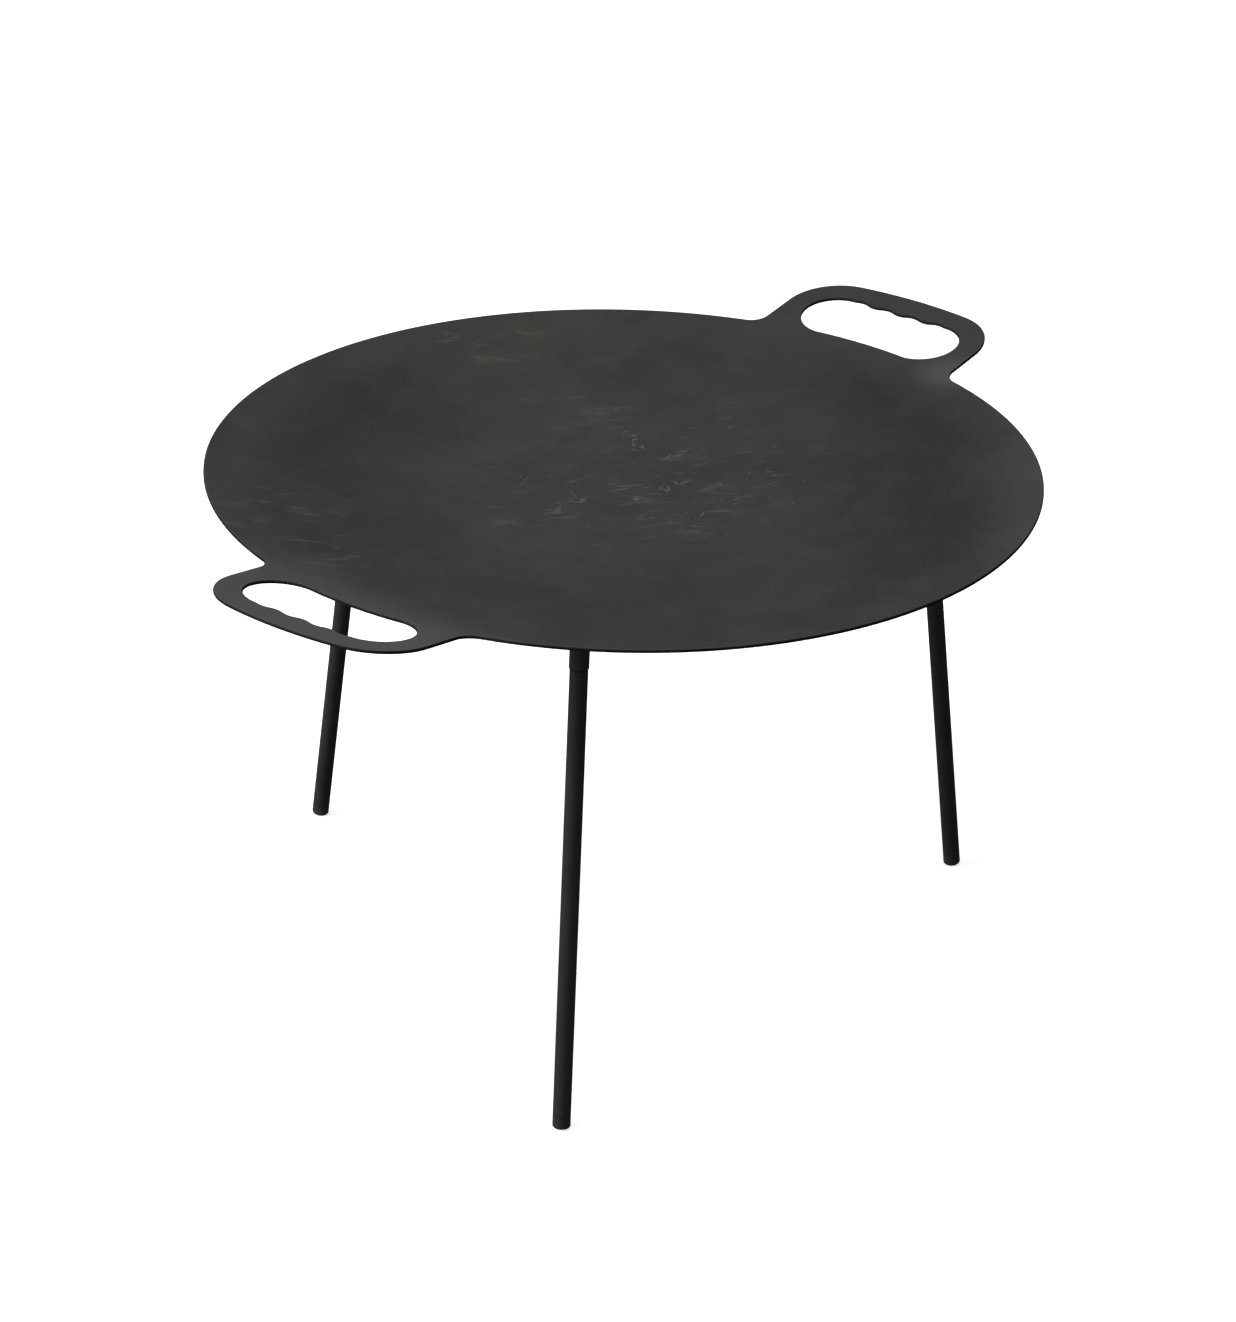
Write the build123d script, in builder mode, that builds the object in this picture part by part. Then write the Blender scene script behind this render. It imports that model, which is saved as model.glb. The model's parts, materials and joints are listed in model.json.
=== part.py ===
"""Round steel fire griddle on three screw-in legs.

The pan is one pressed steel sheet: a shallow spherical dish with two loop handles left on
its blank. Three threaded sleeves are welded under the dish, square to its surface, and a
tubular leg screws into each one. The origin is on the ground below the middle of the dish,
+Z is up, and the handles lie along X.
"""
from build123d import *
import math
import os

# Pan
rim_radius = 280.0
rim_height = 354.0
dish_depth = 22.0
sheet_thickness = 2.5
edge_rounding = 0.9

# Handles: a reach is measured outward from the rim, and a half width from the handle's middle
grip_reach = 71.5
grip_half_width = 80.0
grip_crown_radius = 280.0
grip_corner_radius = 42.0
grip_root_radius = 14.0
slot_inner_reach = -0.6
slot_outer_reach = 49.6
slot_inner_crown = 2.6
finger_count = 4
finger_pitch = 21.5
finger_depth = 2.3

# Leg sleeves and their welds
leg_azimuths = {"rear": 90.0, "left": 210.0, "right": 330.0}
socket_seat_radius = 224.0
socket_radius = 6.5
socket_length = 30.0
socket_mouth_chamfer = 0.8
weld_leg = 3.0
weld_throat_sag = 0.5

# Thread, M10 x 1.5, cut with a free fit
thread_pitch = 1.5
stud_core_radius = 4.0
stud_crest_radius = 4.85
socket_crest_radius = 4.2
socket_root_radius = 5.05
ridge_base_half_width = 0.60
ridge_crest_half_width = 0.12
ridge_embedding = 0.25
stud_thread_length = 20.0
stud_shank_length = 15.0
stud_end_chamfer = 0.8

# Leg tubes and foot plugs
leg_radius = 6.0
leg_bore_radius = 4.5
leg_edge_chamfer = 0.4
shoulder_gap = 0.3
foot_length = 8.0
foot_rounding = 1.8
foot_gap = 0.1
spigot_length = 12.0
spigot_clearance = 0.05
spigot_chamfer = 0.6

# The dish is part of a sphere whose centre stands above its middle
sphere_radius = (rim_radius**2 + dish_depth**2) / (2 * dish_depth)
sphere_height = rim_height - dish_depth + sphere_radius
rim_slope = math.asin(rim_radius / sphere_radius)
underside_radius = sphere_radius + sheet_thickness

# Each leg's axis runs through the sphere's centre, so it meets the dish squarely
leg_splay = math.asin(socket_seat_radius / underside_radius)
seat_height = sphere_height - underside_radius * math.cos(leg_splay)
leg_top = socket_length + shoulder_gap

# The stud's ridge runs half a pitch behind the sleeve's, so the two threads mesh when screwed home
stud_turns_missed = math.ceil((leg_top - stud_thread_length) / thread_pitch)
stud_thread_start = (stud_turns_missed + 0.5) * thread_pitch

foot_edge_radius = leg_radius - foot_rounding
foot_end = foot_rounding + (
    seat_height - foot_rounding - foot_edge_radius * math.sin(leg_splay)
) / math.cos(leg_splay)
foot_top = foot_end - foot_length
leg_bottom = foot_top - foot_gap


def dish_point(polar_angle, depth=0.0):
    """A point of the dish's section: its distance from the middle and its height."""
    radius = sphere_radius + depth
    return (radius * math.sin(polar_angle), sphere_height - radius * math.cos(polar_angle))


def flare_point(reach, depth=0.0):
    """A point of the straight flare that carries the handles on from the rim."""
    start_radius, start_height = dish_point(rim_slope, depth)
    return (
        start_radius + reach * math.cos(rim_slope),
        start_height + reach * math.sin(rim_slope),
    )


def make_griddle_pan():
    """The pressed sheet: a revolved section, trimmed to the outline of its blank."""
    flare_length = 2 * grip_reach
    finger_half = finger_pitch / 2
    slot_straight_half = (finger_count - 0.5) * finger_half
    slot_middle_reach = (slot_inner_reach + slot_outer_reach) / 2
    slot_end_radius = (slot_outer_reach - slot_inner_reach) / 2
    crown_drop = grip_half_width**2 / (2 * grip_crown_radius)
    root_distance = math.sqrt(rim_radius**2 - grip_half_width**2)

    def grip_point(reach, sideways):
        return (rim_radius + reach, sideways)

    with BuildPart() as pan:
        with BuildSketch(Plane.XZ):
            with BuildLine():
                ThreePointArc(dish_point(0), dish_point(rim_slope / 2), dish_point(rim_slope))
                Polyline(
                    dish_point(rim_slope),
                    flare_point(flare_length),
                    flare_point(flare_length, sheet_thickness),
                    dish_point(rim_slope, sheet_thickness),
                )
                ThreePointArc(
                    dish_point(rim_slope, sheet_thickness),
                    dish_point(rim_slope / 2, sheet_thickness),
                    dish_point(0, sheet_thickness),
                )
                Line(dish_point(0, sheet_thickness), dish_point(0))
            make_face()
        revolve(axis=Axis.Z)

        with BuildSketch(Plane.XY) as blank:
            Circle(rim_radius)
            with BuildLine():
                crown_end = grip_reach - crown_drop
                ThreePointArc(
                    grip_point(crown_end, -grip_half_width),
                    grip_point(grip_reach, 0),
                    grip_point(crown_end, grip_half_width),
                )
                Polyline(
                    grip_point(crown_end, grip_half_width),
                    grip_point(-grip_reach, grip_half_width),
                    grip_point(-grip_reach, -grip_half_width),
                    grip_point(crown_end, -grip_half_width),
                )
            make_face()
            fillet(blank.vertices().sort_by(Axis.X)[-2:], grip_corner_radius)
            roots = blank.vertices().filter_by_position(
                Axis.X, root_distance - edge_rounding, root_distance + edge_rounding
            )
            fillet(roots, grip_root_radius)
            with BuildLine():
                ThreePointArc(
                    grip_point(slot_inner_reach, -slot_straight_half),
                    grip_point(slot_inner_reach + slot_inner_crown, 0),
                    grip_point(slot_inner_reach, slot_straight_half),
                )
                ThreePointArc(
                    grip_point(slot_inner_reach, slot_straight_half),
                    grip_point(slot_middle_reach, slot_straight_half + slot_end_radius),
                    grip_point(slot_outer_reach, slot_straight_half),
                )
                for wave in range(2 * finger_count - 1):
                    side = 1 if wave % 2 == 0 else -1
                    start = slot_straight_half - wave * finger_half
                    ThreePointArc(
                        grip_point(slot_outer_reach, start),
                        grip_point(slot_outer_reach + side * finger_depth / 2, start - finger_half / 2),
                        grip_point(slot_outer_reach, start - finger_half),
                    )
                ThreePointArc(
                    grip_point(slot_outer_reach, -slot_straight_half),
                    grip_point(slot_middle_reach, -slot_straight_half - slot_end_radius),
                    grip_point(slot_inner_reach, -slot_straight_half),
                )
            make_face(mode=Mode.SUBTRACT)
            mirror(about=Plane.YZ)
        extrude(amount=2 * rim_height, mode=Mode.INTERSECT)
        trimmed = pan.edges().filter_by(is_sheet_edge)
        fillet(trimmed, edge_rounding)
    return pan.part


def is_sheet_edge(edge):
    """True for the edges along the trimmed outline, which stand at the rim or beyond it."""
    middle = edge.position_at(0.5)
    distance = math.hypot(middle.X, middle.Y)
    return edge.geom_type != GeomType.LINE and distance > rim_radius - grip_root_radius


def leg_frame(azimuth):
    """A leg's own frame: its origin where the axis leaves the dish, and Z down the leg."""
    turn = math.radians(azimuth)
    outward = Vector(math.cos(turn), math.sin(turn), 0)
    direction = outward * math.sin(leg_splay) - Vector(0, 0, 1) * math.cos(leg_splay)
    origin = outward * socket_seat_radius + Vector(0, 0, 1) * seat_height
    sideways = Vector(-math.sin(turn), math.cos(turn), 0)
    return Plane(origin=origin, x_dir=sideways, z_dir=direction)


def section_plane(frame):
    """The plane of a turned piece's section: x away from the leg's axis, y down the leg."""
    return Plane(origin=frame.origin, x_dir=frame.x_dir, z_dir=-frame.y_dir)


def leg_axis(frame):
    return Axis(frame.origin, frame.z_dir)


def seat_point(radius):
    """Where a turned piece of this radius meets the underside of the dish."""
    return (radius, underside_radius - math.sqrt(underside_radius**2 - radius**2))


def make_thread_ridge(frame, base_radius, crest_radius, start, end):
    """One thread's ridge, swept about the leg's axis from its start to its end."""
    start_frame = frame.offset(start)
    with BuildPart() as ridge:
        with BuildLine() as path:
            Helix(
                pitch=thread_pitch,
                height=end - start,
                radius=base_radius,
                center=start_frame.origin,
                direction=start_frame.z_dir,
            )
        outward = path.line @ 0 - start_frame.origin
        across = outward.cross(start_frame.z_dir)
        with BuildSketch(Plane(origin=start_frame.origin, x_dir=outward, z_dir=across)):
            with BuildLine():
                Polyline(
                    (base_radius, -ridge_base_half_width),
                    (crest_radius, -ridge_crest_half_width),
                    (crest_radius, ridge_crest_half_width),
                    (base_radius, ridge_base_half_width),
                    close=True,
                )
            make_face()
        sweep(path=path.line, is_frenet=True)
    return ridge.part


def make_leg_socket(frame):
    """The threaded sleeve, its upper end following the underside of the dish."""
    thread = make_thread_ridge(
        frame,
        base_radius=socket_root_radius + ridge_embedding,
        crest_radius=socket_crest_radius,
        start=thread_pitch,
        end=socket_length - thread_pitch,
    )
    with BuildPart() as socket:
        with BuildSketch(section_plane(frame)):
            with BuildLine():
                ThreePointArc(
                    seat_point(socket_root_radius),
                    seat_point((socket_root_radius + socket_radius) / 2),
                    seat_point(socket_radius),
                )
                Polyline(
                    seat_point(socket_radius),
                    (socket_radius, socket_length - socket_mouth_chamfer / 2),
                    (socket_radius - socket_mouth_chamfer / 2, socket_length),
                    (socket_root_radius + socket_mouth_chamfer / 2, socket_length),
                    (socket_root_radius, socket_length - socket_mouth_chamfer / 2),
                    seat_point(socket_root_radius),
                )
            make_face()
        revolve(axis=leg_axis(frame))
        add(thread)
    return socket.part


def make_socket_weld(frame):
    """The fillet weld around the sleeve, slightly hollow between its two toes."""
    weld_outer_radius = socket_radius + weld_leg
    sleeve_toe = (socket_radius, weld_leg)
    dish_toe = seat_point(weld_outer_radius)
    throat = (socket_radius + weld_leg / 2 - weld_throat_sag, weld_leg / 2 - weld_throat_sag)
    with BuildPart() as weld:
        with BuildSketch(section_plane(frame)):
            with BuildLine():
                Line(sleeve_toe, seat_point(socket_radius))
                ThreePointArc(
                    seat_point(socket_radius),
                    seat_point(socket_radius + weld_leg / 2),
                    dish_toe,
                )
                ThreePointArc(dish_toe, throat, sleeve_toe)
            make_face()
        revolve(axis=leg_axis(frame))
    return weld.part


def make_leg_tube(frame):
    """The plain round tube that is the leg's length."""
    with BuildPart() as tube:
        with BuildSketch(section_plane(frame)):
            with BuildLine():
                Polyline(
                    (leg_bore_radius, leg_top),
                    (leg_radius - leg_edge_chamfer, leg_top),
                    (leg_radius, leg_top + leg_edge_chamfer),
                    (leg_radius, leg_bottom),
                    (leg_bore_radius, leg_bottom),
                    close=True,
                )
            make_face()
        revolve(axis=leg_axis(frame))
    return tube.part


def make_leg_stud(frame):
    """The threaded stud: its shank is held in the tube and its thread enters the sleeve."""
    stud_top = leg_top - stud_thread_length
    thread = make_thread_ridge(
        frame,
        base_radius=stud_core_radius - ridge_embedding,
        crest_radius=stud_crest_radius,
        start=stud_thread_start,
        end=leg_top - thread_pitch,
    )
    with BuildPart() as stud:
        with BuildSketch(section_plane(frame)):
            with BuildLine():
                Polyline(
                    (0, stud_top),
                    (stud_core_radius - stud_end_chamfer, stud_top),
                    (stud_core_radius, stud_top + stud_end_chamfer),
                    (stud_core_radius, leg_top),
                    (leg_bore_radius, leg_top),
                    (leg_bore_radius, leg_top + stud_shank_length - stud_end_chamfer),
                    (leg_bore_radius - stud_end_chamfer, leg_top + stud_shank_length),
                    (0, leg_top + stud_shank_length),
                    close=True,
                )
            make_face()
        revolve(axis=leg_axis(frame))
        add(thread)
    return stud.part


def make_foot_plug(frame):
    """The end plug: a rounded foot as wide as the tube, on a spigot inside the bore."""
    spigot_radius = leg_bore_radius - spigot_clearance
    spigot_top = foot_top - spigot_length
    with BuildPart() as plug:
        with BuildSketch(section_plane(frame)):
            with BuildLine():
                Polyline(
                    (foot_edge_radius, foot_end),
                    (0, foot_end),
                    (0, spigot_top),
                    (spigot_radius - spigot_chamfer, spigot_top),
                    (spigot_radius, spigot_top + spigot_chamfer),
                    (spigot_radius, foot_top),
                    (leg_radius, foot_top),
                    (leg_radius, foot_end - foot_rounding),
                )
                RadiusArc(
                    (leg_radius, foot_end - foot_rounding),
                    (foot_edge_radius, foot_end),
                    -foot_rounding,
                )
            make_face()
        revolve(axis=leg_axis(frame))
    return plug.part


leg_pieces = {
    "leg_socket": make_leg_socket,
    "socket_weld": make_socket_weld,
    "leg_tube": make_leg_tube,
    "leg_stud": make_leg_stud,
    "foot_plug": make_foot_plug,
}

os.makedirs("parts", exist_ok=True)

griddle_pan = make_griddle_pan()
griddle_pan.label = "griddle_pan"
export_step(griddle_pan, "parts/griddle_pan.step")

for place, azimuth in leg_azimuths.items():
    frame = leg_frame(azimuth)
    for piece_name, make_piece in leg_pieces.items():
        piece = make_piece(frame)
        piece.label = f"{piece_name}_{place}"
        export_step(piece, f"parts/{piece.label}.step")
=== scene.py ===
import json
import math

import bmesh
import bpy
from mathutils import Matrix, Vector


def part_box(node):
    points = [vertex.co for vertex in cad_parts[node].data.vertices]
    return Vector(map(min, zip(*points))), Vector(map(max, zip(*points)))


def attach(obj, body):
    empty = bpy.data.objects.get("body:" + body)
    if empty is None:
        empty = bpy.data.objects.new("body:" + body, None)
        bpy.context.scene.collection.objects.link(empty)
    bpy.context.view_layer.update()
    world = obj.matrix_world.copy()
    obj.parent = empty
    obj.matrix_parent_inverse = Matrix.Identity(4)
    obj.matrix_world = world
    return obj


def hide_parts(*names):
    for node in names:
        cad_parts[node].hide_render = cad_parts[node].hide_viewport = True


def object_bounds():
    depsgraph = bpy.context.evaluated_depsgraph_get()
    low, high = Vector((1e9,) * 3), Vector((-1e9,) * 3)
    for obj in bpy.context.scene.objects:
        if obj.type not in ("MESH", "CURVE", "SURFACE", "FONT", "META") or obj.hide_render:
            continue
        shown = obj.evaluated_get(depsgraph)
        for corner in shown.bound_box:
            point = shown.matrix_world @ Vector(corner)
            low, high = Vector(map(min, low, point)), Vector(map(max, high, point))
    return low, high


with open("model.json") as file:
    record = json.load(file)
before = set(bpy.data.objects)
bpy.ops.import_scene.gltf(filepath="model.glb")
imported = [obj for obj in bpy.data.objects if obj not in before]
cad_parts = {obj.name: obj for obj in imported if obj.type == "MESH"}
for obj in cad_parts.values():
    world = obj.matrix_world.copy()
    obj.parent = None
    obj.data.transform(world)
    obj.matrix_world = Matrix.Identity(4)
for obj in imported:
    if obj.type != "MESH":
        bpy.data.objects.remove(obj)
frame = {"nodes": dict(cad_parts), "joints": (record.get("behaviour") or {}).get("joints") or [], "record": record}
cad_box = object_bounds()
record = frame["record"]

# The pan's own measures, in metres, as the CAD has them.
DISH_SPHERE_RADIUS = 1.79282
SHEET = 0.0025
SLEEVE_RADIUS = 0.0065
WELD_LEG = 0.003

# Where the object was seen from: degrees and metres.
VIEW_AZIMUTH = -53.74
VIEW_ELEVATION = 26.21
VIEW_ROLL = 1.55
VIEW_DISTANCE = 3.14115
VIEW_TARGET = Vector((-0.0003, 0.0004, 0.20828))
VIEW_LENS = 125.48
VIEW_SENSOR = 36.0

# The stage, in metres. The floor lies a hair under the feet, so the two never share a plane.
FLOOR_HALF = 9.0
FLOOR_DROP = 0.0002

# Mean albedo of the seasoned sheet and of the black coat.
SHEET_GREY = 0.0232
COAT_GREY = 0.0245

# The weld beads' meshes: points across the skin, ripples and rows round a sleeve. Then, in
# metres, how far the hidden sides run into the sleeve and pan, and how hollow the skin is.
BEAD_STEPS = 18
BEAD_RIPPLES = 34
BEAD_ROWS = 340
BEAD_TUCK = 0.0004
BEAD_HOLLOW = 0.00050
BEAD_OUTWARD = Vector((0.7071, 0.7071))


# ---------------------------------------------------------------- shader tools


class Graph:
    """One material's node tree, with short calls for the nodes used here."""

    def __init__(self, name):
        self.material = bpy.data.materials.new(name)
        self.material.use_nodes = True
        self.tree = self.material.node_tree
        self.tree.nodes.clear()
        self.coords = self.add("ShaderNodeTexCoord")
        self.place = self.coords.outputs["Object"]
        self.normal = self.coords.outputs["Normal"]

    def add(self, kind, **settings):
        made = self.tree.nodes.new(kind)
        for key, value in settings.items():
            setattr(made, key, value)
        return made

    def feed(self, socket, value):
        if isinstance(value, bpy.types.NodeSocket):
            self.tree.links.new(value, socket)
        else:
            socket.default_value = value

    def math(self, operation, first, second=0.0):
        made = self.add("ShaderNodeMath", operation=operation)
        self.feed(made.inputs[0], first)
        self.feed(made.inputs[1], second)
        return made.outputs[0]

    def vector(self, operation, first, second=(0.0, 0.0, 0.0)):
        made = self.add("ShaderNodeVectorMath", operation=operation)
        self.feed(made.inputs[0], first)
        self.feed(made.inputs[1], second)
        if operation in ("LENGTH", "DISTANCE", "DOT_PRODUCT"):
            return made.outputs["Value"]
        return made.outputs["Vector"]

    def split(self, source):
        made = self.add("ShaderNodeSeparateXYZ")
        self.feed(made.inputs[0], source)
        return made.outputs

    def turned(self, source, angle, scale):
        """Coordinates turned about Z by angle in degrees, then scaled."""
        turn = self.add("ShaderNodeVectorRotate", rotation_type="Z_AXIS")
        self.feed(turn.inputs["Vector"], source)
        self.feed(turn.inputs["Angle"], math.radians(angle))
        return self.vector("MULTIPLY", turn.outputs[0], scale)

    def noise(self, source, scale, detail=3.0, roughness=0.5, distortion=0.0):
        made = self.add("ShaderNodeTexNoise")
        self.feed(made.inputs["Vector"], source)
        self.feed(made.inputs["Scale"], scale)
        self.feed(made.inputs["Detail"], detail)
        self.feed(made.inputs["Roughness"], roughness)
        self.feed(made.inputs["Distortion"], distortion)
        return made.outputs["Fac"]

    def shifted(self, source, offset):
        return self.vector("ADD", source, offset)

    def span(self, value, low, high, to_low=0.0, to_high=1.0, soft=True):
        """value from low..high to to_low..to_high, clamped."""
        made = self.add("ShaderNodeMapRange", clamp=True)
        made.interpolation_type = "SMOOTHSTEP" if soft else "LINEAR"
        self.feed(made.inputs["Value"], value)
        self.feed(made.inputs["From Min"], low)
        self.feed(made.inputs["From Max"], high)
        self.feed(made.inputs["To Min"], to_low)
        self.feed(made.inputs["To Max"], to_high)
        return made.outputs["Result"]

    def mix(self, amount, first, second):
        made = self.add("ShaderNodeMix", data_type="RGBA")
        self.feed(made.inputs["Factor"], amount)
        self.feed(made.inputs["A"], (*first, 1.0) if isinstance(first, tuple) else first)
        self.feed(made.inputs["B"], (*second, 1.0) if isinstance(second, tuple) else second)
        return made.outputs["Result"]

    def total(self, *values):
        result = values[0]
        for value in values[1:]:
            result = self.math("ADD", result, value)
        return result

    def product(self, *values):
        result = values[0]
        for value in values[1:]:
            result = self.math("MULTIPLY", result, value)
        return result

    def largest(self, *values):
        result = values[0]
        for value in values[1:]:
            result = self.math("MAXIMUM", result, value)
        return result

    def near(self, point, inner, outer):
        """1 within inner of a point, falling to 0 at outer."""
        away = self.vector("DISTANCE", self.place, point)
        return self.span(away, inner, outer, 1.0, 0.0)

    def bump(self, height, distance, strength=1.0, over=None):
        made = self.add("ShaderNodeBump")
        self.feed(made.inputs["Height"], height)
        self.feed(made.inputs["Distance"], distance)
        self.feed(made.inputs["Strength"], strength)
        if over is not None:
            self.feed(made.inputs["Normal"], over)
        return made.outputs["Normal"]

    def surface(self, colour, roughness, normal, metallic=0.0, specular=0.5):
        shader = self.add("ShaderNodeBsdfPrincipled")
        self.feed(shader.inputs["Base Color"], colour)
        self.feed(shader.inputs["Roughness"], roughness)
        self.feed(shader.inputs["Normal"], normal)
        self.feed(shader.inputs["Metallic"], metallic)
        shader.inputs["Specular IOR Level"].default_value = specular
        output = self.add("ShaderNodeOutputMaterial")
        self.tree.links.new(shader.outputs[0], output.inputs["Surface"])
        return self.material


def scaled_colour(graph, colour, level):
    """A colour socket or tuple multiplied by a grey level socket."""
    made = graph.add("ShaderNodeVectorMath", operation="SCALE")
    graph.feed(made.inputs[0], colour)
    graph.feed(made.inputs["Scale"], level)
    return made.outputs["Vector"]


# ------------------------------------------------------------------- materials


def scratch_layer(graph, angle, length, width, threshold, patch_seed):
    """Short straight scratches along one direction, in patches."""
    strokes = graph.noise(
        graph.shifted(
            graph.turned(graph.place, angle, (1.0 / length, 1.0 / width, 0.0)),
            (patch_seed, patch_seed * 1.7, 0.0),
        ),
        1.0,
        detail=1.0,
        roughness=0.4,
        distortion=0.5,
    )
    patches = graph.noise(
        graph.shifted(graph.place, (patch_seed, 0.0, patch_seed)), 26.0, 2.0
    )
    lines = graph.span(strokes, threshold, threshold + 0.05)
    return graph.product(lines, graph.span(patches, 0.56, 0.63))


def curved_scratches(graph, scale, width, patch_seed):
    """Short curved scratches: thin contour lines, kept only in small patches."""
    field = graph.noise(
        graph.shifted(graph.place, (patch_seed, 1.0, 0.0)), scale, 1.0, 0.4, 0.6
    )
    away = graph.math("ABSOLUTE", graph.math("SUBTRACT", field, 0.5))
    patches = graph.noise(
        graph.shifted(graph.place, (0.0, patch_seed, 2.0)), 48.0, 2.0, 0.5
    )
    lines = graph.span(away, width * 0.4, width, 1.0, 0.0)
    return graph.product(lines, graph.span(patches, 0.60, 0.67))


def weld_points():
    """The middle of each sleeve's joint with the pan."""
    points = []
    for name in sorted(frame["nodes"]):
        if name.startswith("socket_weld_"):
            low, high = (Vector(corner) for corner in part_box(name))
            points.append((low + high) / 2)
    return points


def seasoned_sheet_steel():
    """Oil-seasoned sheet: mottled near-black, lighter where the food slides."""
    g = Graph("seasoned_sheet_steel")
    x, y, _ = g.split(g.place)
    _, _, facing = g.split(g.normal)
    flat_place = g.vector("MULTIPLY", g.place, (1.0, 1.0, 0.0))
    radius = g.vector("LENGTH", flat_place)

    # Broad zones: a greyer cooking circle, the thinner coat towards the loops,
    # painted shade on the dish's left and right sides and towards the camera's right,
    # and a lighter, cooler painted sheen over a thinner coat at the near loop and along the rim on the camera's
    # right.
    broad = g.noise(flat_place, 5.0, 4.0, 0.55, 0.4)
    warped = g.math("ADD", radius, g.span(broad, 0.3, 0.7, -0.035, 0.035))
    circle = g.span(warped, 0.105, 0.185, 1.0, 0.0)
    loops = g.span(g.math("ABSOLUTE", x), 0.225, 0.305)
    # Near loop: a thinner coat with a painted sheen, lighter and cooler.
    near_loop_coat_and_sheen = g.span(x, -0.235, -0.300)
    # Rim band on the camera's right: a painted sheen over a thinner coat.
    side = g.vector("DOT_PRODUCT", flat_place, (0.50, -0.86, 0.0))
    right_rim_coat_and_sheen = g.product(g.span(side, 0.225, 0.280), 0.8)
    # across runs along the camera's right axis: the side lobes and the gradient built on it are painted shade.
    across = g.vector("DOT_PRODUCT", flat_place, (0.589, -0.808, 0.0))
    side_painted_shade = g.product(
        g.span(g.math("ABSOLUTE", across), 0.095, 0.190), g.span(radius, 0.262, 0.225)
    )
    mottle = g.noise(g.place, 13.0, 6.0, 0.62, 0.6)
    cloud = g.noise(g.shifted(g.place, (3.1, 1.2, 0.4)), 34.0, 5.0, 0.65, 0.3)
    grain = g.noise(g.place, 620.0, 2.0, 0.6)

    # Marks: scratches and rubbed scuffs; then a painted highlight at one loop's root and a painted sheen in the
    # band by the slots.
    scratches = scratch_layer(g, 42.0, 0.036, 0.0022, 0.645, 4.7)
    for angle, length, width, threshold, seed in (
        (27.0, 0.030, 0.0019, 0.655, 9.3),
        (61.0, 0.020, 0.0018, 0.665, 2.9),
        (-14.0, 0.016, 0.0020, 0.675, 7.1),
        (-63.0, 0.013, 0.0019, 0.680, 5.3),
    ):
        scratches = g.largest(
            scratches, scratch_layer(g, angle, length, width, threshold, seed)
        )
    scratches = g.largest(
        scratches, curved_scratches(g, 26.0, 0.016, 3.7), curved_scratches(g, 40.0, 0.022, 8.9)
    )
    worked = g.span(
        g.vector("DISTANCE", flat_place, (0.035, 0.0, 0.0)), 0.055, 0.150, 1.0, 0.08
    )
    scratches = g.product(scratches, worked)
    rubbing = g.noise(
        g.turned(g.place, 40.0, (26.0, 62.0, 0.0)), 1.0, 6.0, 0.70, 0.9
    )
    scuffs = g.product(
        g.span(rubbing, 0.52, 0.68),
        g.largest(
            g.near((0.008, -0.045, 0.332), 0.012, 0.080),
            g.product(g.near((0.050, 0.030, 0.333), 0.010, 0.060), 0.8),
            g.product(g.near((0.085, 0.105, 0.337), 0.010, 0.060), 0.6),
            g.product(g.near((-0.080, 0.038, 0.334), 0.004, 0.030), 0.8),
            g.product(g.near((-0.200, 0.135, 0.348), 0.015, 0.062), 0.9),
            g.product(g.near((-0.217, 0.080, 0.347), 0.012, 0.050), 0.8),
            g.product(g.near((0.125, 0.225, 0.350), 0.010, 0.070), 0.9),
        ),
    )
    # Painted highlight where the far loop's root curves.
    root_painted_highlight = g.near((0.274, -0.080, 0.354), 0.006, 0.034)
    # Painted sheen in the band between the slots and the dish, brighter towards -y.
    slot_painted_sheen = g.product(
        g.span(g.math("ABSOLUTE", x), 0.250, 0.282),
        g.span(y, 0.075, -0.060),
    )

    # Grey level, in albedo.
    level = g.total(
        SHEET_GREY,
        g.product(circle, 0.0012),
        # painted shade: darker dish sides, and darker towards the camera's right
        g.product(side_painted_shade, -0.0060),
        g.product(g.span(across, 0.08, 0.22), -0.0022),
        # painted sheen over a thinner coat on the near loop
        g.product(near_loop_coat_and_sheen, 0.0205),
        g.product(loops, 0.0020),
        # painted sheen over a thinner coat on the rim at the camera's right
        g.product(right_rim_coat_and_sheen, 0.0165),
        # painted highlights: the band by the slots and the far loop's root
        g.product(slot_painted_sheen, 0.0060),
        g.product(root_painted_highlight, 0.0240),
        g.span(mottle, 0.25, 0.75, -0.0043, 0.0043, soft=False),
        g.span(cloud, 0.25, 0.75, -0.0039, 0.0039, soft=False),
        g.span(grain, 0.2, 0.8, -0.0030, 0.0030, soft=False),
        g.product(scuffs, 0.0300),
        g.product(scratches, 0.0360),
    )

    # Hue: olive in the ring, neutral in the circle, cooler at the loops and in the
    # painted sheen at the near loop and the right rim, and faint red-brown oil burns.
    ring = g.span(mottle, 0.38, 0.62, 0.35, 1.0)
    tint = g.mix(ring, (1.0, 1.0, 0.975), (1.02, 1.04, 0.88))
    tint = g.mix(g.product(circle, 0.8), tint, (1.0, 1.0, 1.0))
    burns = g.noise(g.shifted(g.place, (0.7, 2.3, 1.9)), 29.0, 5.0, 0.62, 0.6)
    burns = g.product(g.span(burns, 0.54, 0.66), g.span(radius, 0.09, 0.17, 0.0, 0.72))
    tint = g.mix(burns, tint, (1.19, 0.96, 0.90))
    # Cooler tint: the thinner coat at the loops and the painted sheen at the near loop and right rim.
    cool_coat_and_sheen = g.largest(near_loop_coat_and_sheen, right_rim_coat_and_sheen, g.product(loops, 0.35))
    tint = g.mix(cool_coat_and_sheen, tint, (0.965, 0.98, 1.06))
    colour = scaled_colour(g, tint, level)

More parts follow.
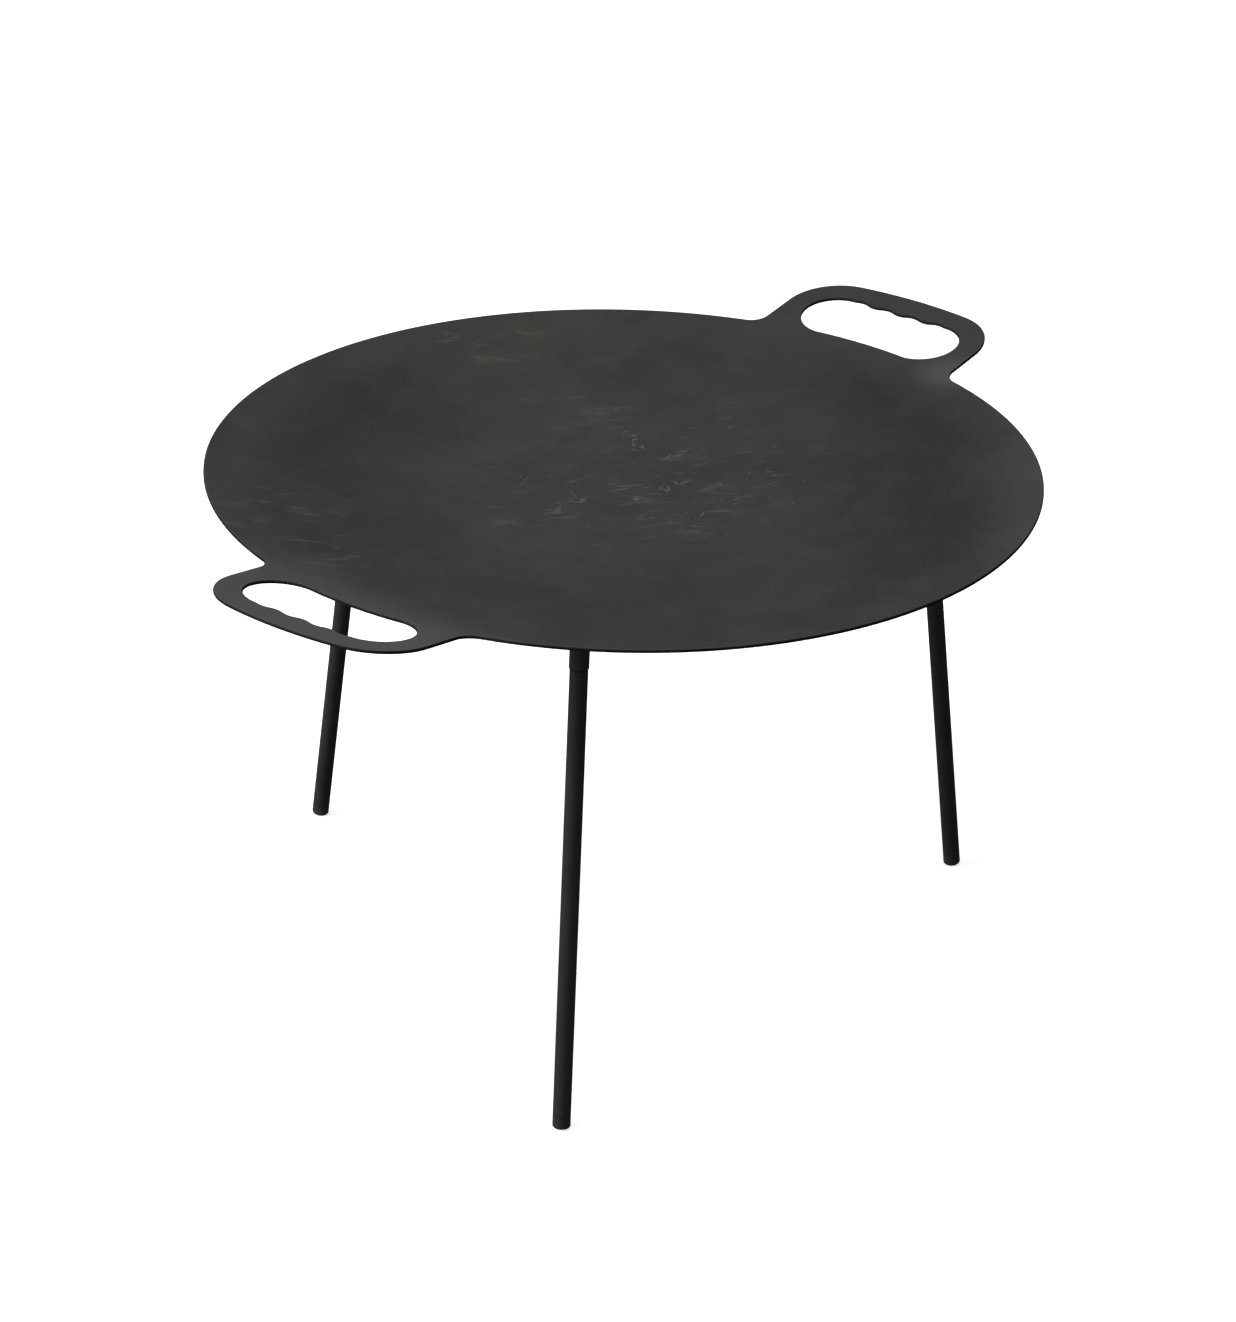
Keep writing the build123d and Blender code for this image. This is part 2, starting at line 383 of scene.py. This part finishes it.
    # The underside: smoke-blackened, with heat rings round each sleeve.
    below = g.math("LESS_THAN", facing, 0.0)
    soot = g.noise(g.place, 9.0, 7.0, 0.66, 0.5)
    sooty = g.mix(g.span(soot, 0.36, 0.66), (0.026, 0.025, 0.024), (0.070, 0.066, 0.061))
    away = None
    for point in weld_points():
        distance = g.vector("DISTANCE", g.place, tuple(point))
        away = distance if away is None else g.math("MINIMUM", away, distance)
    away = g.math("ADD", away, g.span(cloud, 0.3, 0.7, -0.0025, 0.0025))
    straw = g.product(g.span(away, 0.013, 0.017), g.span(away, 0.021, 0.026, 1.0, 0.0))
    violet = g.product(g.span(away, 0.020, 0.024), g.span(away, 0.027, 0.033, 1.0, 0.0))
    sooty = g.mix(g.product(straw, 0.75), sooty, (0.150, 0.108, 0.058))
    sooty = g.mix(g.product(violet, 0.60), sooty, (0.060, 0.052, 0.098))
    colour = g.mix(below, colour, sooty)

    # Edges: the upper rounding of the sheet is rubbed towards bare metal and carries a
    # painted highlight, and the cut wall under it is painted near-black as shade.
    # Upper rounding: real wear plus a painted highlight.
    lip_wear_and_highlight = g.product(g.span(facing, 0.94, 0.965), g.span(facing, 0.978, 0.987, 1.0, 0.0))
    worn = g.noise(g.place, 95.0, 4.0, 0.65)
    lip_wear_and_highlight = g.product(lip_wear_and_highlight, g.span(worn, 0.36, 0.60, 0.35, 1.0))
    # Painted shade: the cut wall, near-black.
    painted_shade_wall = g.product(g.span(facing, 0.88, 0.96, 1.0, 0.0), g.span(facing, -0.97, -0.90))
    colour = g.mix(g.product(painted_shade_wall, 0.96), colour, (0.0030, 0.0030, 0.0032))
    colour = g.mix(g.product(lip_wear_and_highlight, 0.42), colour, (0.115, 0.115, 0.120))

    roughness = g.total(
        g.span(mottle, 0.3, 0.7, 0.46, 0.58, soft=False),
        g.product(circle, 0.03),
        g.product(scratches, -0.10),
        g.product(scuffs, 0.06),
        g.product(g.largest(below, painted_shade_wall), 0.20),
        g.span(grain, 0.2, 0.8, -0.03, 0.03, soft=False),
    )
    waves = g.noise(g.place, 9.0, 2.0, 0.4)
    hammered = g.noise(g.place, 55.0, 3.0, 0.5)
    relief = g.bump(waves, 0.0011, 0.35)
    relief = g.bump(hammered, 0.00022, 0.45, over=relief)
    cut = g.math("SUBTRACT", grain, g.product(scratches, 1.4))
    relief = g.bump(cut, 0.00006, 0.6, over=relief)
    return g.surface(colour, roughness, relief, specular=0.30)


def black_coated_steel():
    """Semi-matt black coat on the tubes, sleeves and foot plugs."""
    g = Graph("black_coated_steel")
    _, _, height = g.split(g.place)
    peel = g.noise(g.place, 420.0, 3.0, 0.5)
    cloud = g.noise(g.place, 28.0, 4.0, 0.6, 0.4)
    scuffing = g.noise(g.vector("MULTIPLY", g.place, (320.0, 320.0, 45.0)), 1.0, 4.0, 0.7)
    low_down = g.span(height, 0.004, 0.060, 1.0, 0.0)
    scuffs = g.product(
        g.span(scuffing, 0.60, 0.70), g.math("ADD", g.product(low_down, 0.75), 0.16)
    )
    chips = g.noise(g.shifted(g.place, (5.0, 2.0, 1.0)), 260.0, 3.0, 0.55)
    chips = g.product(g.span(chips, 0.66, 0.69), g.span(height, 0.002, 0.018, 1.0, 0.0))
    level = g.total(
        COAT_GREY,
        g.span(cloud, 0.3, 0.7, -0.0030, 0.0030, soft=False),
        g.span(peel, 0.3, 0.7, -0.0016, 0.0016, soft=False),
    )
    colour = scaled_colour(g, (1.0, 1.0, 1.015), level)
    colour = g.mix(g.product(scuffs, 0.6), colour, (0.062, 0.061, 0.060))
    colour = g.mix(chips, colour, (0.150, 0.140, 0.130))
    # Lighter and rougher towards the floor, within 12 mm of it.
    pale_near_floor = g.product(g.span(height, 0.0, 0.012, 1.0, 0.0), g.span(cloud, 0.35, 0.65, 0.15, 0.6))
    colour = g.mix(pale_near_floor, colour, (0.075, 0.070, 0.062))
    roughness = g.total(
        g.span(cloud, 0.3, 0.7, 0.36, 0.46, soft=False),
        g.product(scuffs, 0.16),
        g.product(pale_near_floor, 0.25),
    )
    relief = g.bump(g.noise(g.place, 130.0, 2.0, 0.4), 0.00018, 0.5)
    relief = g.bump(peel, 0.00007, 0.7, over=relief)
    return g.surface(colour, roughness, relief, specular=0.5)


def black_weld():
    """Heat-darkened bead: scaly, with straw and blue oxide in the ripples."""
    g = Graph("black_weld")
    scale = g.noise(g.place, 900.0, 4.0, 0.6)
    oxide = g.noise(g.place, 170.0, 3.0, 0.55, 0.6)
    colour = g.mix(g.span(oxide, 0.40, 0.62), (0.028, 0.026, 0.025), (0.070, 0.060, 0.046))
    colour = g.mix(
        g.product(g.span(oxide, 0.60, 0.72), 0.7), colour, (0.040, 0.044, 0.070)
    )
    colour = g.mix(g.product(g.span(scale, 0.55, 0.70), 0.5), colour, (0.012, 0.012, 0.012))
    roughness = g.span(scale, 0.3, 0.7, 0.38, 0.68, soft=False)
    return g.surface(colour, roughness, g.bump(scale, 0.00010, 0.8), metallic=0.55)


def oiled_thread_steel():
    """Rolled thread, grey steel with dark oil held in its roots."""
    g = Graph("oiled_thread_steel")
    film = g.noise(g.place, 240.0, 5.0, 0.62, 0.5)
    fine = g.noise(g.place, 1500.0, 2.0, 0.5)
    colour = g.mix(g.span(film, 0.35, 0.65), (0.33, 0.32, 0.31), (0.15, 0.135, 0.115))
    colour = g.mix(g.product(g.span(film, 0.62, 0.74), 0.8), colour, (0.045, 0.038, 0.030))
    roughness = g.span(film, 0.3, 0.7, 0.42, 0.24, soft=False)
    return g.surface(colour, roughness, g.bump(fine, 0.00003, 0.5), metallic=0.9)


# ------------------------------------------------------------------ weld beads


def seat_of(place):
    """Where a leg's axis meets the pan's underside, and that axis."""
    joint = next(j for j in frame["joints"] if j["name"] == f"leg_{place}_unscrew")
    return Vector(joint["pos_m"]), Vector(joint["axis"]).normalized()


def bead_section(turn):
    """Points of the bead's skin at one turn angle: (radius, depth) pairs."""
    points = []
    for step in range(BEAD_STEPS + 1):
        part = step / BEAD_STEPS
        start = Vector((SLEEVE_RADIUS, WELD_LEG))
        finish = Vector((SLEEVE_RADIUS + WELD_LEG, 0.0))
        crown = math.sin(math.pi * part)
        lag = 0.9 * (2.0 * part - 1.0) ** 2
        ripple = 0.5 + 0.5 * math.cos(BEAD_RIPPLES * turn + lag * math.pi)
        wander = math.sin(3 * turn + 0.7) + 0.6 * math.sin(7 * turn + 2.1)
        swell = 0.00016 + 0.00024 * ripple ** 0.7 + 0.00006 * wander
        skin = start.lerp(finish, part)
        skin += BEAD_OUTWARD * crown ** 0.6 * (swell - BEAD_HOLLOW)
        points.append(skin)
    return points


def weld_bead(place):
    """A rippled fillet bead between one sleeve and the pan."""
    seat, axis = seat_of(place)
    side = axis.cross(Vector((0.0, 0.0, 1.0))).normalized()
    other = axis.cross(side)
    outer_sphere = DISH_SPHERE_RADIUS + SHEET
    mesh = bmesh.new()
    rows = []
    for index in range(BEAD_ROWS):
        turn = 2.0 * math.pi * index / BEAD_ROWS
        out = side * math.cos(turn) + other * math.sin(turn)
        section = bead_section(turn)
        section.append(Vector((SLEEVE_RADIUS + WELD_LEG, -BEAD_TUCK)))
        section.append(Vector((SLEEVE_RADIUS - BEAD_TUCK, -BEAD_TUCK)))
        section.append(Vector((SLEEVE_RADIUS - BEAD_TUCK, WELD_LEG)))
        row = []
        for radius, depth in section:
            dip = outer_sphere - math.sqrt(outer_sphere ** 2 - radius ** 2)
            row.append(mesh.verts.new(seat + out * radius + axis * (depth - dip)))
        rows.append(row)
    for row, following in zip(rows, rows[1:] + rows[:1]):
        count = len(row)
        for index in range(count):
            after = (index + 1) % count
            mesh.faces.new((row[index], row[after], following[after], following[index]))
    bmesh.ops.recalc_face_normals(mesh, faces=mesh.faces)
    for face in mesh.faces:
        face.smooth = True
    name = f"weld_bead_{place}"
    data = bpy.data.meshes.new(name)
    mesh.to_mesh(data)
    mesh.free()
    bead = bpy.data.objects.new(name, data)
    bpy.context.scene.collection.objects.link(bead)
    bead.data.materials.append(MATERIALS["black_weld"])
    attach(bead, "pan")
    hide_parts(f"socket_weld_{place}")


# ------------------------------------------------------------- stage and light


def by_ray(tree, seen, bounced):
    """One shader for rays from the camera, and another for all other rays."""
    path = tree.nodes.new("ShaderNodeLightPath")
    choose = tree.nodes.new("ShaderNodeMixShader")
    tree.links.new(path.outputs["Is Camera Ray"], choose.inputs["Fac"])
    tree.links.new(bounced.outputs[0], choose.inputs[1])
    tree.links.new(seen.outputs[0], choose.inputs[2])
    return choose


def floor_material():
    """Matt pale sweep: white to the camera, dimmer as a reflector, and clear from below."""
    g = Graph("studio_floor")
    tone = g.noise(g.place, 0.8, 3.0, 0.5)
    colour = g.mix(g.span(tone, 0.3, 0.7), (0.86, 0.86, 0.86), (0.88, 0.88, 0.88))
    seen = g.add("ShaderNodeBsdfDiffuse")
    g.feed(seen.inputs["Color"], colour)
    glow = g.add("ShaderNodeEmission")
    g.feed(glow.inputs["Strength"], 0.72)
    both = g.add("ShaderNodeAddShader")
    g.tree.links.new(seen.outputs[0], both.inputs[0])
    g.tree.links.new(glow.outputs[0], both.inputs[1])
    bounced = g.add("ShaderNodeBsdfDiffuse")
    g.feed(bounced.inputs["Color"], (0.34, 0.34, 0.34, 1.0))
    choose = by_ray(g.tree, both, bounced)
    open_below = g.add("ShaderNodeMixShader")
    side = g.add("ShaderNodeNewGeometry")
    clear = g.add("ShaderNodeBsdfTransparent")
    g.tree.links.new(side.outputs["Backfacing"], open_below.inputs["Fac"])
    g.tree.links.new(choose.outputs[0], open_below.inputs[1])
    g.tree.links.new(clear.outputs[0], open_below.inputs[2])
    output = g.add("ShaderNodeOutputMaterial")
    g.tree.links.new(open_below.outputs[0], output.inputs["Surface"])
    return g.material


def make_floor():
    bpy.ops.mesh.primitive_grid_add(
        x_subdivisions=24, y_subdivisions=24, size=2 * FLOOR_HALF
    )
    floor = bpy.context.object
    floor.name = "studio_floor"
    floor.location.z = cad_box[0][2] - FLOOR_DROP
    floor.data.materials.append(floor_material())
    floor.visible_glossy = False


def make_world():
    """White behind the object; softer and one-sided as a light."""
    world = bpy.data.worlds.new("studio_world")
    world.use_nodes = True
    tree = world.node_tree
    tree.nodes.clear()
    coords = tree.nodes.new("ShaderNodeTexCoord")
    lean = tree.nodes.new("ShaderNodeVectorMath")
    lean.operation = "DOT_PRODUCT"
    lean.inputs[1].default_value = (-0.42, 0.42, 0.80)
    tree.links.new(coords.outputs["Generated"], lean.inputs[0])
    fall = tree.nodes.new("ShaderNodeMapRange")
    fall.interpolation_type = "SMOOTHSTEP"
    fall.inputs["From Min"].default_value = -0.55
    fall.inputs["From Max"].default_value = 1.0
    fall.inputs["To Min"].default_value = 0.05
    fall.inputs["To Max"].default_value = 0.42
    tree.links.new(lean.outputs["Value"], fall.inputs["Value"])
    lit = tree.nodes.new("ShaderNodeBackground")
    tree.links.new(fall.outputs["Result"], lit.inputs["Strength"])
    seen = tree.nodes.new("ShaderNodeBackground")
    seen.inputs["Strength"].default_value = 1.0
    choose = by_ray(tree, seen, lit)
    output = tree.nodes.new("ShaderNodeOutputWorld")
    tree.links.new(choose.outputs[0], output.inputs["Surface"])
    bpy.context.scene.world = world


def view_axes():
    """Right, up and back of the camera."""
    azimuth = math.radians(VIEW_AZIMUTH)
    elevation = math.radians(VIEW_ELEVATION)
    roll = math.radians(VIEW_ROLL)
    back = Vector(
        (
            math.sin(azimuth) * math.cos(elevation),
            -math.cos(azimuth) * math.cos(elevation),
            math.sin(elevation),
        )
    )
    right = Vector((0.0, 0.0, 1.0)).cross(back).normalized()
    up = back.cross(right)
    rolled_right = right * math.cos(roll) + up * math.sin(roll)
    rolled_up = up * math.cos(roll) - right * math.sin(roll)
    return rolled_right, rolled_up, back


def make_camera():
    right, up, back = view_axes()
    data = bpy.data.cameras.new("studio_camera")
    data.sensor_fit = "AUTO"
    data.sensor_width = VIEW_SENSOR
    data.sensor_height = VIEW_SENSOR
    data.lens = VIEW_LENS
    data.clip_start = 0.05
    data.clip_end = 60.0
    data.dof.use_dof = False
    camera = bpy.data.objects.new("studio_camera", data)
    turn = Matrix((right, up, back)).transposed().to_4x4()
    camera.matrix_world = Matrix.Translation(VIEW_TARGET + back * VIEW_DISTANCE) @ turn
    bpy.context.scene.collection.objects.link(camera)
    bpy.context.scene.camera = camera


def soft_light(name, place, aim, size, power):
    """A large square softbox that the camera doesn't see."""
    data = bpy.data.lights.new(name, "AREA")
    data.shape = "RECTANGLE"
    data.size, data.size_y = size
    data.energy = power
    light = bpy.data.objects.new(name, data)
    light.location = place
    facing = (Vector(place) - Vector(aim)).to_track_quat("Z", "Y")
    light.rotation_euler = facing.to_euler()
    light.visible_camera = False
    bpy.context.scene.collection.objects.link(light)


def make_lights():
    aim = (0.0, 0.0, 0.25)
    soft_light("softbox_left", (-1.9, 1.5, 1.7), aim, (0.9, 1.6), 56.0)
    soft_light("softbox_top", (-0.3, 0.2, 3.2), aim, (2.4, 2.4), 62.0)


# ------------------------------------------------------------------------ make

MATERIALS = {
    "seasoned_sheet_steel": seasoned_sheet_steel(),
    "black_coated_steel": black_coated_steel(),
    "black_weld": black_weld(),
    "oiled_thread_steel": oiled_thread_steel(),
}
SLOT_OF = {part["node"]: part["material_slot"] for part in record["subparts"]}

make_camera()
for node_name, node_object in frame["nodes"].items():
    for index in range(len(node_object.data.materials)):
        node_object.data.materials[index] = MATERIALS[SLOT_OF[node_name]]
for place_name in ("rear", "left", "right"):
    weld_bead(place_name)
make_floor()
make_world()
make_lights()

bpy.context.scene.view_settings.view_transform = "Standard"
bpy.context.scene.view_settings.look = "None"
